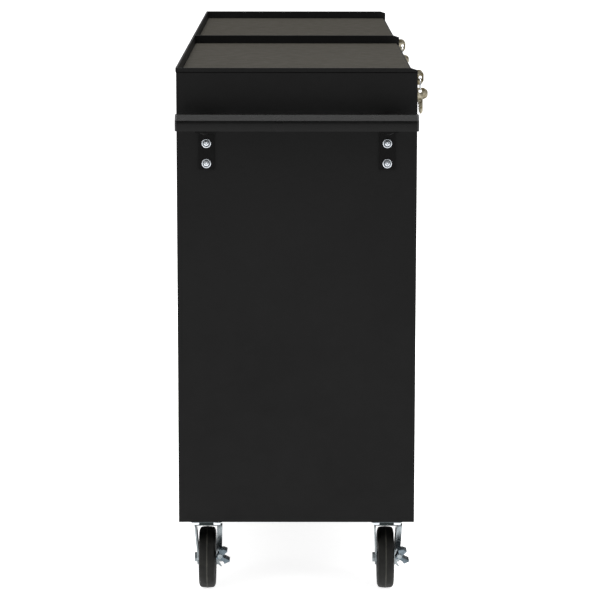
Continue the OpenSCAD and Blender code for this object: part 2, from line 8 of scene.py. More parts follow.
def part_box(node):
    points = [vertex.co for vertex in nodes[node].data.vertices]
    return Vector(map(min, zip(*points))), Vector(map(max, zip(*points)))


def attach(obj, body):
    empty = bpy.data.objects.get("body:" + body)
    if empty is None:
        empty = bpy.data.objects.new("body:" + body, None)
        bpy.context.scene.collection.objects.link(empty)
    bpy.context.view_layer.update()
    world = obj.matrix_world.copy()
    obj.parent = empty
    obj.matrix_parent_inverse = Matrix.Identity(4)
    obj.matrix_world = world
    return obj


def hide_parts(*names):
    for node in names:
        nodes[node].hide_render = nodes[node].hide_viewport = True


# Looks of the rolling tool chest. Metres, +Z up, -Y the front, push handle at the -X end.

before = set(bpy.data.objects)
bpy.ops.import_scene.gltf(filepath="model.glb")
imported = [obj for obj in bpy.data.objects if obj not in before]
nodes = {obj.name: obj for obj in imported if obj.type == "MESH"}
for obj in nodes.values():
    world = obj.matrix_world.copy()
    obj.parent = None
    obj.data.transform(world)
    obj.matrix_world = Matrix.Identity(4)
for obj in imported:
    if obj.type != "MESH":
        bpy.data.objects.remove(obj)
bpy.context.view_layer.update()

MM = 0.001
SIDES = ("left", "right")
ROWS = ("front", "back")
CORNERS = [f"{side}_{row}" for side in SIDES for row in ROWS]
DRAWERS = range(1, 6)


def linear(red, green, blue):
    """Linear colour of an 8-bit screen colour."""
    values = []
    for part in (red, green, blue):
        part /= 255
        values.append(part / 12.92 if part < 0.04045 else ((part + 0.055) / 1.055) ** 2.4)
    return (*values, 1)


# ---- finishes ----


class Finish:
    """A node material whose textures follow the object's own metres."""

    def __init__(self, name, **sockets):
        self.material = bpy.data.materials.new(name)
        self.material.use_nodes = True
        self.tree = self.material.node_tree
        self.shader = self.tree.nodes["Principled BSDF"]
        self.place = self.add("ShaderNodeTexCoord").outputs["Object"]
        for key, value in sockets.items():
            self.shader.inputs[key.replace("_", " ")].default_value = value

    def add(self, kind, links=(), **values):
        """New node with input values or settings, and links given as (input, socket)."""
        node = self.tree.nodes.new(kind)
        for key, value in values.items():
            key = key.replace("_", " ")
            if key in node.inputs:
                node.inputs[key].default_value = value
            else:
                setattr(node, key.replace(" ", "_"), value)
        for key, socket in links:
            self.tree.links.new(socket, node.inputs[key])
        return node

    def drive(self, key, socket):
        """Links a socket to one of the shader's inputs."""
        self.tree.links.new(socket, self.shader.inputs[key])

    def stretched(self, stretch):
        mapping = self.add("ShaderNodeMapping", [("Vector", self.place)], Scale=stretch)
        return mapping.outputs[0]

    def noise(self, scale, detail=3.0, stretch=(1, 1, 1), twist=0.0):
        links = [("Vector", self.stretched(stretch))]
        node = self.add(
            "ShaderNodeTexNoise", links, Scale=scale, Detail=detail, Distortion=twist
        )
        return node.outputs["Fac"]

    def cells(self, scale):
        node = self.add("ShaderNodeTexVoronoi", [("Vector", self.place)], Scale=scale)
        return node.outputs["Distance"]

    def spread(self, socket, low, high, start=0.3, end=0.7):
        """Maps start to end onto low to high, clamped."""
        links = [("Value", socket)]
        node = self.add("ShaderNodeMapRange", links, clamp=True)
        ends = {"From Min": start, "From Max": end, "To Min": low, "To Max": high}
        for key, value in ends.items():
            node.inputs[key].default_value = value
        return node.outputs["Result"]

    def blend(self, factor, first, second):
        """Mix of two colours or colour sockets."""
        node = self.add("ShaderNodeMix", data_type="RGBA")
        self.tree.links.new(factor, node.inputs[0])
        for socket, colour in ((node.inputs[6], first), (node.inputs[7], second)):
            if isinstance(colour, tuple):
                socket.default_value = colour
            else:
                self.tree.links.new(colour, socket)
        return node.outputs[2]

    def bump(self, *layers):
        """Layers of (height socket, depth in metres), fine ones last."""
        normal = None
        for height, depth in layers:
            links = [("Height", height)]
            if normal is not None:
                links.append(("Normal", normal))
            node = self.add("ShaderNodeBump", links, Strength=1.0, Distance=depth)
            normal = node.outputs["Normal"]
        self.drive("Normal", normal)


def powder_coat(name, dark, light, roughness, gloss):
    """Textured enamel on steel: orange peel, faint clouding and a trace of dust."""
    coat = Finish(name, Specular_IOR_Level=gloss)
    cloud = coat.noise(6, 4)
    colour = coat.blend(coat.spread(cloud, 0, 1), dark, light)
    speck = coat.spread(coat.noise(900, 1), 0, 0.5, 0.66, 0.8)
    coat.drive("Base Color", coat.blend(speck, colour, light))
    coat.drive("Roughness", coat.spread(coat.noise(40, 3), roughness - 0.05, roughness + 0.06))
    coat.bump((coat.noise(120, 2), 0.00003), (coat.noise(700, 2), 0.00006))
    return coat.material


def tray_mat():
    """Rubber matting with a fine pebbled face."""
    pebbles = 520
    mat = Finish("tray_mat", Specular_IOR_Level=0.08)
    cloud = mat.spread(mat.noise(5, 5, twist=0.4), 0, 1)
    grain = mat.spread(mat.cells(pebbles), 0, 1, 0.05, 0.75)
    base = mat.blend(cloud, linear(51, 48, 42), linear(56, 53, 46))
    mat.drive("Base Color", mat.blend(grain, base, linear(44, 42, 37)))
    mat.drive("Roughness", mat.spread(mat.noise(60, 3), 0.62, 0.78))
    mat.bump((mat.cells(pebbles), 0.00018), (mat.noise(1500, 2), 0.00005))
    return mat.material


def zinc(name, dark, light, roughness, shade_heights=None):
    """Zinc plating: cool, slightly clouded, with fine drawing marks; shade_heights gives the heights
    between which it darkens upwards towards the ball race, a painted shade under the caster plate."""
    plate = Finish(name, Metallic=1.0)
    cloud = plate.spread(plate.noise(70, 4, twist=0.6), 0, 1)
    colour = plate.blend(cloud, dark, light)
    if shade_heights:
        # Painted shade: the zinc darkens towards the top, under the caster plate and ball race.
        axes = plate.add("ShaderNodeSeparateXYZ", [("Vector", plate.place)])
        painted_shade = plate.spread(axes.outputs["Z"], 0, 1, *shade_heights)
        colour = plate.blend(painted_shade, colour, linear(38, 43, 43))
    plate.drive("Base Color", colour)
    plate.drive("Roughness", plate.spread(plate.noise(260, 3), roughness - 0.07, roughness + 0.1))
    plate.bump((plate.noise(500, 2), 0.00002), (plate.noise(2600, 1, (1, 1, 0.15)), 0.000012))
    return plate.material


def satin_alloy():
    """Anodised extrusion brushed along its length."""
    alloy = Finish("satin_alloy", Metallic=1.0, Anisotropic=0.4)
    streak = alloy.noise(900, 2, (0.01, 1, 1))
    alloy.drive("Base Color", alloy.blend(streak, linear(150, 152, 156), linear(176, 178, 182)))
    alloy.drive("Roughness", alloy.spread(streak, 0.3, 0.42))
    alloy.bump((streak, 0.00002))
    return alloy.material


def rubber(name, dark, light):
    """Solid tyre rubber, a little dusty."""
    tyre = Finish(name, Specular_IOR_Level=0.24)
    dust = tyre.spread(tyre.noise(55, 5, twist=0.5), 0, 1, 0.4, 0.75)
    tyre.drive("Base Color", tyre.blend(dust, dark, light))
    tyre.drive("Roughness", tyre.spread(tyre.noise(120, 3), 0.52, 0.72))
    tyre.bump((tyre.noise(300, 3), 0.00004), (tyre.noise(1600, 2), 0.00003))
    return tyre.material


def moulded(name, dark, light, roughness):
    """Moulded plastic with a spark-eroded grain."""
    plastic = Finish(name, Specular_IOR_Level=0.4)
    plastic.drive("Base Color", plastic.blend(plastic.noise(35, 3), dark, light))
    low, high = roughness - 0.06, roughness + 0.06
    plastic.drive("Roughness", plastic.spread(plastic.noise(90, 2), low, high))
    plastic.bump((plastic.noise(1300, 2), 0.00004))
    return plastic.material


def key_metal():
    """Nickel wearing thin over brass."""
    nickel = Finish("key_nickel", Metallic=1.0)
    worn = nickel.spread(nickel.noise(140, 4, twist=0.8), 0, 1, 0.38, 0.62)
    nickel.drive("Base Color", nickel.blend(worn, linear(168, 162, 144), linear(108, 98, 74)))
    nickel.drive("Roughness", nickel.spread(nickel.noise(500, 3), 0.2, 0.36))
    nickel.bump((nickel.noise(900, 3), 0.00002))
    return nickel.material


COAT = powder_coat("powder_coat", linear(15, 15, 15), linear(18, 18, 18), 0.45, 0.105)
COAT_EDGE = powder_coat("powder_coat_edge", linear(17, 17, 17), linear(24, 24, 24), 0.42, 0.14)
# Near-black coat for the strip under each tray's hem: a painted shadow.
SHADOW = powder_coat("painted_hem_shadow", linear(4, 4, 4), linear(6, 6, 6), 0.6, 0.04)
GRIP = powder_coat("grip_enamel", linear(6, 6, 6), linear(8, 8, 8), 0.3, 0.16)
# Darker than the panel's coat: black enamel with painted shade, for the brackets and bar screws under the
# handle bar.
BRACKET_SHADE = powder_coat("bracket_enamel_painted_shade", linear(11, 11, 11), linear(14, 14, 14), 0.5, 0.07)
MAT = tray_mat()
ZINC = zinc("zinc", linear(112, 119, 122), linear(156, 163, 166), 0.28)
# Fork zinc, darkened near its top as painted shade under the caster plate.
ZINC_FORK = zinc("zinc_fork", linear(120, 127, 130), linear(164, 171, 174), 0.28, (0.097, 0.1025))
ZINC_BLUE = zinc("zinc_blue", linear(70, 80, 86), linear(112, 123, 130), 0.28)
# Darker zinc: painted shade on the caster plates under the chest and in the screw heads' groove; also used
# on zinc parts' rounded edges.
ZINC_DARK_SHADE = zinc("zinc_dark_painted_shade", linear(52, 58, 60), linear(84, 90, 92), 0.34)
ZINC_BRIGHT = zinc("zinc_bright", linear(180, 184, 190), linear(214, 218, 222), 0.14)
ALLOY = satin_alloy()
TYRE = rubber("tyre_rubber", linear(14, 14, 12), linear(22, 22, 19))
TYRE_SEAM = rubber("tyre_seam", linear(50, 50, 46), linear(66, 65, 60))
HUB = moulded("hub_nylon", linear(28, 28, 29), linear(38, 38, 39), 0.5)
CAP = moulded("cap_plastic", linear(30, 30, 31), linear(38, 38, 39), 0.45)
KEY = key_metal()


# ---- shapes ----


def soften(points, radius, closed=True, steps=3):
    """A polyline's points with each corner rounded by up to radius."""
    made = []
    last = len(points) - 1
    for i, point in enumerate(points):
        corner = Vector(point)
        back = Vector(points[i - 1]) - corner
        on = Vector(points[(i + 1) % len(points)]) - corner
        if (not closed and i in (0, last)) or back.angle(on) > 3.1:
            made.append(tuple(corner))
            continue
        reach = radius / math.tan(back.angle(on) / 2)
        start = corner + back.normalized() * min(reach, 0.45 * back.length)
        end = corner + on.normalized() * min(reach, 0.45 * on.length)
        for k in range(steps + 1):
            t = k / steps
            made.append(tuple((1 - t) ** 2 * start + 2 * t * (1 - t) * corner + t * t * end))
    return made


def circle(radius, centre=(0, 0), steps=40):
    turns = [2 * math.pi * k / steps for k in range(steps)]
    return [(centre[0] + radius * math.cos(a), centre[1] + radius * math.sin(a)) for a in turns]


def to_mesh(shape, name="part"):
    """Closed bmesh to mesh data, doubles merged and faces turned outwards."""
    bmesh.ops.remove_doubles(shape, verts=shape.verts, dist=1e-6)
    bmesh.ops.recalc_face_normals(shape, faces=shape.faces)
    data = bpy.data.meshes.new(name)
    shape.to_mesh(data)
    shape.free()
    return data


def lathe(profile, closed=False, steps=64):
    """Turned shape about Z from (radius, height) points; closed joins the last to the first."""
    shape = bmesh.new()
    rings = []
    for radius, height in profile:
        count = steps if radius > 1e-7 else 1
        turns = [2 * math.pi * k / steps for k in range(count)]
        rings.append(
            [shape.verts.new((radius * math.cos(a), radius * math.sin(a), height)) for a in turns]
        )
    pairs = list(zip(rings, rings[1:]))
    if closed:
        pairs.append((rings[-1], rings[0]))
    for low, high in pairs:
        for i in range(steps):
            j = (i + 1) % steps
            corners = [low[i % len(low)], low[j % len(low)], high[j % len(high)], high[i % len(high)]]
            corners = list(dict.fromkeys(corners))
            if len(corners) > 2:
                shape.faces.new(corners)
    return to_mesh(shape)


def plate(outlines, low, high, edge, steps=2):
    """Flat shape from z = low to high with rounded edges; outlines inside the first are holes."""
    curve = bpy.data.curves.new("outline", "CURVE")
    curve.dimensions = "2D"
    curve.fill_mode = "BOTH"
    curve.extrude = (high - low) / 2 - edge
    curve.bevel_depth = edge
    curve.bevel_resolution = steps
    curve.offset = -edge
    for outline in outlines:
        spline = curve.splines.new("POLY")
        spline.points.add(len(outline) - 1)
        for point, place in zip(spline.points, outline):
            point.co = (place[0], place[1], 0, 1)
        spline.use_cyclic_u = True
    holder = bpy.data.objects.new("outline", curve)
    flat = bpy.data.meshes.new_from_object(holder)
    bpy.data.objects.remove(holder)
    shape = bmesh.new()
    shape.from_mesh(flat)
    bmesh.ops.translate(shape, verts=shape.verts, vec=(0, 0, (low + high) / 2))
    return to_mesh(shape)


def hexagon(corner, height, bore=0.0, steps=48):
    """Chamfered hexagon head or nut on z = 0; corner is the distance to its corners."""
    flat = corner * math.cos(math.pi / 6)
    turns = [2 * math.pi * k / steps for k in range(steps)]
    outer = [flat / math.cos(a % (math.pi / 3) - math.pi / 6) for a in turns]
    inner = bore if bore else 1e-5
    rows = [
        [(inner, 0)] * steps,
        [(reach, 0) for reach in outer],
        [(reach, height - 0.5 * (reach - 0.97 * flat)) for reach in outer],
        [(0.93 * flat, height)] * steps,
        [(inner, height)] * steps,
    ]
    shape = bmesh.new()
    rings = [
        [shape.verts.new((r * math.cos(a), r * math.sin(a), z)) for (r, z), a in zip(row, turns)]
        for row in rows
    ]
    for low, high in zip(rings, rings[1:] + rings[:1] if bore else rings[1:]):
        for i in range(steps):
            j = (i + 1) % steps
            shape.faces.new((low[i], low[j], high[j], high[i]))
    return to_mesh(shape)


def tube(points, radius, sides=14):
    """Round wire along points, with flat ends."""
    shape = bmesh.new()
    rings = []
    last = len(points) - 1
    for i, point in enumerate(points):
        here = Vector(point)
        before, after = (i - 1, i + 1) if 0 < i < last else (min(i, last - 1), min(i + 1, last))
        ahead = Vector(points[after]) - Vector(points[before])
        across = ahead.cross(Vector((0.02, 1, 0.01))).normalized()
        up = across.cross(ahead).normalized()
        ring = []
        for k in range(sides):
            turn = 2 * math.pi * k / sides
            out = across * math.cos(turn) + up * math.sin(turn)
            ring.append(shape.verts.new(here + out * radius))
        rings.append(ring)
    for low, high in zip(rings, rings[1:]):
        for i in range(sides):
            j = (i + 1) % sides
            shape.faces.new((low[i], low[j], high[j], high[i]))
    shape.faces.new(rings[0])
    shape.faces.new(rings[-1])
    return to_mesh(shape)


def cut(mesh, cutter):
    """Mesh with the cutter's volume taken out."""
    body = bpy.data.objects.new("cut_body", mesh)
    tool = bpy.data.objects.new("cut_tool", cutter)
    for holder in (body, tool):
        bpy.context.scene.collection.objects.link(holder)
    boolean = body.modifiers.new("cut", "BOOLEAN")
    boolean.operation = "DIFFERENCE"
    boolean.solver = "EXACT"
    boolean.object = tool
    graph = bpy.context.evaluated_depsgraph_get()
    made = bpy.data.meshes.new_from_object(body.evaluated_get(graph), depsgraph=graph)
    for holder in (body, tool):
        bpy.data.objects.remove(holder)
    made.materials.clear()
    return made


def moved(mesh, *matrices):
    """Copy of a mesh moved by the matrices, the last one first."""
    copy = mesh.copy()
    whole = Matrix.Identity(4)
    for matrix in matrices:
        whole = whole @ matrix
    copy.transform(whole)
    if whole.determinant() < 0:
        copy.flip_normals()
    return copy


def shift(x, y, z):
    return Matrix.Translation((x, y, z))


def turn(degrees, axis):
    return Matrix.Rotation(math.radians(degrees), 4, axis)


def piece(name, parts, body, replaced=(), sharp=32):
    """One visible object made of (mesh, material) parts, riding on a body."""
    whole = bmesh.new()
    materials = []
    for mesh, material in parts:
        if material not in materials:
            materials.append(material)
        start = len(whole.faces)
        whole.from_mesh(mesh)
        whole.faces.ensure_lookup_table()
        for face in whole.faces[start:]:
            face.material_index = materials.index(material)
            face.smooth = True
    data = bpy.data.meshes.new(name)
    whole.to_mesh(data)
    whole.free()
    data.set_sharp_from_angle(angle=math.radians(sharp))
    for material in materials:
        data.materials.append(material)
    obj = bpy.data.objects.new(name, data)
    bpy.context.scene.collection.objects.link(obj)
    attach(obj, body)
    if replaced:
        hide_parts(*replaced)


def solids(node):
    """(lowest, highest) corners of each separate solid of a CAD node."""
    shape = bmesh.new()
    shape.from_mesh(nodes[node].data)
    bmesh.ops.remove_doubles(shape, verts=shape.verts, dist=2e-6)
    boxes = []
    seen = set()
    for vert in shape.verts:
        if vert in seen:
            continue
        group = {vert}
        pending = [vert]
        while pending:
            for edge in pending.pop().link_edges:
                for other in edge.verts:
                    if other not in group:
                        group.add(other)
                        pending.append(other)
        seen |= group
        low = Vector([min(v.co[k] for v in group) for k in range(3)])
        high = Vector([max(v.co[k] for v in group) for k in range(3)])
        boxes.append((low, high))
    shape.free()
    return boxes


# ---- CAD nodes that stay: softened edges and a finish ----


def smooth_group():
    """Geometry nodes that shade smooth except at edges sharper than 30 degrees."""
    group = bpy.data.node_groups.new("smooth_by_angle", "GeometryNodeTree")
    group.interface.new_socket("Geometry", in_out="INPUT", socket_type="NodeSocketGeometry")
    group.interface.new_socket("Geometry", in_out="OUTPUT", socket_type="NodeSocketGeometry")
    entry = group.nodes.new("NodeGroupInput")
    exit_node = group.nodes.new("NodeGroupOutput")
    faces = group.nodes.new("GeometryNodeSetShadeSmooth")
    edges = group.nodes.new("GeometryNodeSetShadeSmooth")
    edges.domain = "EDGE"
    edges.inputs["Shade Smooth"].default_value = False
    angle = group.nodes.new("GeometryNodeInputMeshEdgeAngle")
    sharp = group.nodes.new("FunctionNodeCompare")
    sharp.data_type = "FLOAT"
    sharp.operation = "GREATER_THAN"
    sharp.inputs[1].default_value = math.radians(30)
    group.links.new(entry.outputs[0], faces.inputs["Geometry"])
    group.links.new(faces.outputs[0], edges.inputs["Geometry"])
    group.links.new(angle.outputs["Unsigned Angle"], sharp.inputs[0])
    group.links.new(sharp.outputs[0], edges.inputs["Selection"])
    group.links.new(edges.outputs[0], exit_node.inputs[0])
    return group


SMOOTH = smooth_group()


def finish_node(name, face, edge, width, segments=2):
    """Gives a CAD node rounded edges in their own finish."""
    obj = nodes[name]
    obj.data.materials.clear()
    obj.data.materials.append(face)
    obj.data.materials.append(edge)
    weld = obj.modifiers.new("weld", "WELD")
    weld.merge_threshold = 2e-6
    flat = obj.modifiers.new("flat", "DECIMATE")
    flat.decimate_type = "DISSOLVE"
    flat.angle_limit = math.radians(0.5)
    bevel = obj.modifiers.new("edges", "BEVEL")
    bevel.width = width
    bevel.segments = segments
    bevel.limit_method = "ANGLE"
    bevel.angle_limit = math.radians(32)
    bevel.use_clamp_overlap = True
    bevel.material = 1
    smooth = obj.modifiers.new("smooth", "NODES")
    smooth.node_group = SMOOTH
    even = obj.modifiers.new("even", "WEIGHTED_NORMAL")
    even.keep_sharp = True


for side in SIDES:
    finish_node(f"body_shell_{side}", COAT, COAT_EDGE, 0.5 * MM)
    finish_node(f"bottom_pan_{side}", COAT, COAT_EDGE, 0.5 * MM)
    finish_node(f"top_tray_{side}", COAT, COAT_EDGE, 0.35 * MM)
    finish_node(f"tray_mat_{side}", MAT, MAT, 0.6 * MM)
    finish_node(f"slide_rails_{side}", ZINC, ZINC, 0.3 * MM)
    finish_node(f"lock_bar_{side}", ZINC, ZINC, 0.4 * MM)
    for i in DRAWERS:
        finish_node(f"drawer_{side}_{i}", COAT, COAT_EDGE, 0.35 * MM)
        finish_node(f"drawer_pull_{side}_{i}", ALLOY, ALLOY, 0.4 * MM)
finish_node("handle_bar", GRIP, GRIP, 0.7 * MM, 3)
finish_node("handle_end_caps", CAP, CAP, 0.6 * MM, 3)
# The brackets take the darker coat as painted shade under the bar.
finish_node("handle_brackets", BRACKET_SHADE, BRACKET_SHADE, 0.6 * MM)
# Caster plates in the darker zinc: painted shade under the chest.
finish_node("caster_plates", ZINC_DARK_SHADE, ZINC_DARK_SHADE, 0.6 * MM)
finish_node("rigid_casters", ZINC, ZINC_DARK_SHADE, 0.5 * MM)
for corner in CORNERS:
    finish_node(f"swivel_fork_{corner}", ZINC_FORK, ZINC_DARK_SHADE, 0.5 * MM)
    finish_node(f"brake_pedal_{corner}", ZINC_BLUE, ZINC_DARK_SHADE, 0.4 * MM)


# ---- wheels ----


def wheel_parts(radius, half_width):
    """Solid tyre with a moulding line round its tread, on a ribbed hub, about Z."""
    crown = radius - 0.25 * MM
    line = 1.1 * MM
    side = [
        (27.05 * MM, 10.2 * MM),
        (29.5 * MM, 10.6 * MM),
        (30.2 * MM, 11.2 * MM),
        (33.0 * MM, half_width),
        (radius - 5.5 * MM, half_width),
        (radius - 1.4 * MM, 10.0 * MM),
        (crown - 0.3 * MM, 6.2 * MM),
        (crown, line * 2),
    ]
    half = soften(side, 3.5 * MM, closed=False, steps=5)
    tread = lathe(half + [(r, -z) for r, z in reversed(half)], closed=True, steps=128)
    ridge = [
        (crown - 0.5 * MM, line),
        (radius - 0.05 * MM, line * 0.7),
        (radius, 0),
        (radius - 0.05 * MM, -line * 0.7),
        (crown - 0.5 * MM, -line),
    ]
    ridge = lathe(ridge, closed=True, steps=128)
    web = [
        (6.6 * MM, 12.0 * MM),
        (9.0 * MM, 12.0 * MM),
        (9.8 * MM, 4.0 * MM),
        (22.5 * MM, 3.2 * MM),
        (24.0 * MM, 10.4 * MM),
        (27.0 * MM, 10.4 * MM),
    ]
    web = soften(web, 0.9 * MM, closed=False)
    hub = lathe(web + [(r, -z) for r, z in reversed(web)], closed=True, steps=96)
    bore, sleeve, end = 4.06 * MM, 6.55 * MM, 12.2 * MM
    bush = soften([(bore, end), (sleeve, end), (sleeve, -end), (bore, -end)], 0.3 * MM)
    bush = lathe(bush, closed=True, steps=48)
    parts = [(tread, TYRE), (ridge, TYRE_SEAM), (hub, HUB), (bush, ZINC)]
    root, tip = 9.2 * MM, 23.6 * MM
    rib = [(root, -1.2 * MM), (tip, -0.9 * MM), (tip, 0.9 * MM), (root, 1.2 * MM)]
    rib = plate([soften(rib, 0.2 * MM)], -8.6 * MM, 8.6 * MM, 0.4 * MM)
    for k in range(6):
        parts.append((moved(rib, turn(60 * k + 15, "Z")), HUB))
    return parts


wheel_low, wheel_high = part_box("swivel_wheel_left_front")
WHEEL = wheel_parts((wheel_high.z - wheel_low.z) / 2, 11.7 * MM)
for corner in CORNERS:
    for kind in ("swivel", "rigid"):
        node = f"{kind}_wheel_{corner}"
        low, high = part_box(node)
        centre = (low + high) / 2
        place = shift(*centre) @ turn(90, "X")
        parts = [(moved(mesh, place), material) for mesh, material in WHEEL]
        piece(f"{kind}_tyre_and_hub_{corner}", parts, node, [node])


# ---- painted shadow strip under each tray's hem, and treads on the brake pedals ----


def block(low, high):
    """Box mesh between two corners."""
    shape = bmesh.new()
    bmesh.ops.create_cube(shape, size=1)
    size = [b - a for a, b in zip(low, high)]
    bmesh.ops.scale(shape, verts=shape.verts, vec=size)
    bmesh.ops.translate(shape, verts=shape.verts, vec=[(a + b) / 2 for a, b in zip(low, high)])
    return to_mesh(shape)


def make_hem_shadow_strips():
    """Dark strip where the hem's edge meets the end and back panels: a painted shadow under the hem."""
    hem, shadow_band, proud, sunk = 5.3 * MM, 1.5 * MM, 0.25 * MM, 0.1 * MM
    for side in SIDES:
        low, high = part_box(f"body_shell_{side}")
        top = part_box(f"top_tray_{side}")[1].z - hem
        bottom = top - shadow_band
        front = low.y + 1 * MM
        walls = [
            block((low.x - proud, front, bottom), (low.x + sunk, high.y + proud, top)),
            block((high.x - sunk, front, bottom), (high.x + proud, high.y + proud, top)),
            block((low.x, high.y - sunk, bottom), (high.x, high.y + proud, top)),
        ]
        # The strips carry a painted shadow under the hem, not a real part.
        piece(f"hem_shadow_strip_{side}", [(wall, SHADOW) for wall in walls], "cabinet")


def make_pedal_treads():
    """Pressed ribs across both wings of each brake pedal, placed in the pedal outline's own millimetres."""
    profile = [(0, -7.6 * MM), (0.65 * MM, -7.2 * MM), (0.65 * MM, 7.2 * MM), (0, 7.6 * MM)]
    rib = lathe(soften(profile, 0.25 * MM, closed=False), steps=16)
    reach, peak = 32.6, 21.6
    places = [(-24, 10), (-26.5, 8.7), (-29, 7.4), (-31.3, 6.3)]
    places += [(-19.5, 21), (-22, 21.3), (-25.3, 21.1), (-27.8, 20.1)]
    for corner in CORNERS:
        low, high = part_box(f"brake_pedal_{corner}")
        left = corner.startswith("left")
        parts = []
        for y, z in places:
            across = low.y + (reach + y) * MM if left else high.y - (reach + y) * MM
            level = high.z + (z - peak) * MM
            place = shift((low.x + high.x) / 2, across, level) @ turn(90, "Y")
            parts.append((moved(rib, place), ZINC_BLUE))
        piece(f"pedal_treads_{corner}", parts, f"brake_pedal_{corner}")


make_hem_shadow_strips()
make_pedal_treads()


# ---- screws and bolts ----


def cross_cutter(top, bottom, mouth, root):
    """Tapered cross that cuts a driver's recess, from z = bottom up to top."""
    shape = bmesh.new()
    rings = []
    for level, (reach, half) in ((bottom, root), (top, mouth)):
        arm = [(reach, -half), (reach, half), (half, half)]
        ring = []
        for k in range(4):
            quarter = Matrix.Rotation(math.pi / 2 * k, 3, "Z")
            ring += [shape.verts.new(quarter @ Vector((x, y, level))) for x, y in arm]
        rings.append(ring)
    low, high = rings
    for i in range(12):
        j = (i + 1) % 12
        shape.faces.new((low[i], low[j], high[j], high[i]))
    shape.faces.new(low)
    shape.faces.new(high)
    return to_mesh(shape)


def washer_head_screw(length, radius, head):
    """Screw seated on z = 0: dished washer, and a domed head with a cross recess."""
    base = [
        (0, -length),
        (2.2 * MM, -length),
        (3 * MM, 1 * MM - length),
        (3 * MM, 0),
        (radius - 0.2 * MM, 0),
        (radius - 0.4 * MM, 0.45 * MM),
        (0, 0.5 * MM),
    ]
    rim = [
        (radius - 1.9 * MM, 0.4 * MM),
        (radius - 0.3 * MM, 0.2 * MM),
        (radius, 0.7 * MM),
        (radius - 0.5 * MM, 1.5 * MM),
        (radius - 1.4 * MM, 1.7 * MM),
        (radius - 1.9 * MM, 1.2 * MM),
    ]
    dome = [
        (0, 0.3 * MM),
        (0.6 * radius, 0.3 * MM),
        (0.62 * radius, head * 0.6),
        (0.5 * radius, head * 0.9),
        (0.28 * radius, head),
        (0, head),
    ]
    mouth, root = (0.44 * radius, 0.75 * MM), (0.18 * radius, 0.45 * MM)
    recess = cross_cutter(head + 0.1 * MM, head * 0.35, mouth, root)
    return [
        # The dark zinc base shows as a ring between washer and dome: painted shade in that groove.
        (lathe(soften(base, 0.2 * MM, closed=False), steps=72), ZINC_DARK_SHADE),
        (lathe(soften(rim, 0.4 * MM), closed=True, steps=72), ZINC_BRIGHT),
        (cut(lathe(soften(dome, 0.35 * MM, closed=False), steps=72), recess), ZINC_BRIGHT),
    ]


def make_handle_screws():
    head = 3.6 * MM
    panel_screw = washer_head_screw(12 * MM, 6.7 * MM, head)
    bar_screw = washer_head_screw(5.5 * MM, 6.7 * MM, head)
    parts = []
    for low, high in solids("handle_screws"):
        centre = (low + high) / 2
        if high.z - low.z > 10 * MM:
            place = shift(low.x + head, centre.y, centre.z) @ turn(-90, "Y")
            parts += [(moved(mesh, place), finish) for mesh, finish in panel_screw]
        else:
            place = shift(centre.x, centre.y, low.z + head) @ turn(180, "X")
            # The screws up through the arms take the darker bracket coat: painted shade under the bar.
            parts += [(moved(mesh, place), BRACKET_SHADE) for mesh, _ in bar_screw]
    piece("handle_screw_set", parts, "cabinet", ["handle_screws"])


def make_hex_bolts():
    """Bolts, nuts and spacers: a bolt's axis is its longest side, the others' their shortest."""
    head = hexagon(5.6 * MM, 4 * MM)
    nut = hexagon(5.6 * MM, 5 * MM, 3.05 * MM)
    thread = [(0, 0)]
    for k in range(18):
        thread += [(2.62 * MM, (0.5 * k + 0.1) * MM), (3 * MM, (0.5 * k + 0.35) * MM)]
    thread += [(2.5 * MM, 9.4 * MM), (0, 9.6 * MM)]
    thread = lathe(thread, steps=32)
    flange = [
        (3.1 * MM, 0),
        (8.6 * MM, 0),
        (9 * MM, 1 * MM),
        (8.6 * MM, 2 * MM),
        (3.1 * MM, 2 * MM),
    ]
    flange = lathe(soften(flange, 0.2 * MM), closed=True)
    parts = []
    for low, high in solids("hex_bolts"):
        size = high - low
        middle, longest = sorted(size)[1:]
        bolt = longest > 14 * MM and middle < 12 * MM
        length = longest if bolt else min(size)
        along_x = size.x == length
        centre = (low + high) / 2
        if along_x:
            place = shift(low.x, centre.y, centre.z) @ turn(90, "Y")
        else:
            place = shift(centre.x, centre.y, low.z)
        if bolt:
            stem, stem_end = 2.98 * MM, length - 9 * MM
            shank = [(0, 0), (stem, 0), (stem, stem_end), (0, stem_end)]
            shank = lathe(soften(shank, 0.1 * MM, closed=False), steps=32)
            parts.append((moved(head, place, shift(0, 0, 4 * MM), turn(180, "X")), ZINC_BRIGHT))
            parts.append((moved(shank, place), ZINC_BRIGHT))
            parts.append((moved(thread, place, shift(0, 0, length - 9.7 * MM)), ZINC_BRIGHT))
        elif length > 3 * MM:
            parts.append((moved(nut, place), ZINC_BRIGHT))
        else:
            parts.append((moved(flange, place), ZINC))
    piece("hex_bolt_set", parts, "cabinet", ["hex_bolts"])


make_handle_screws()
make_hex_bolts()


# ---- locks and keys ----

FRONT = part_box("body_shell_left")[0].y
KEY_LENGTH = 39 * MM


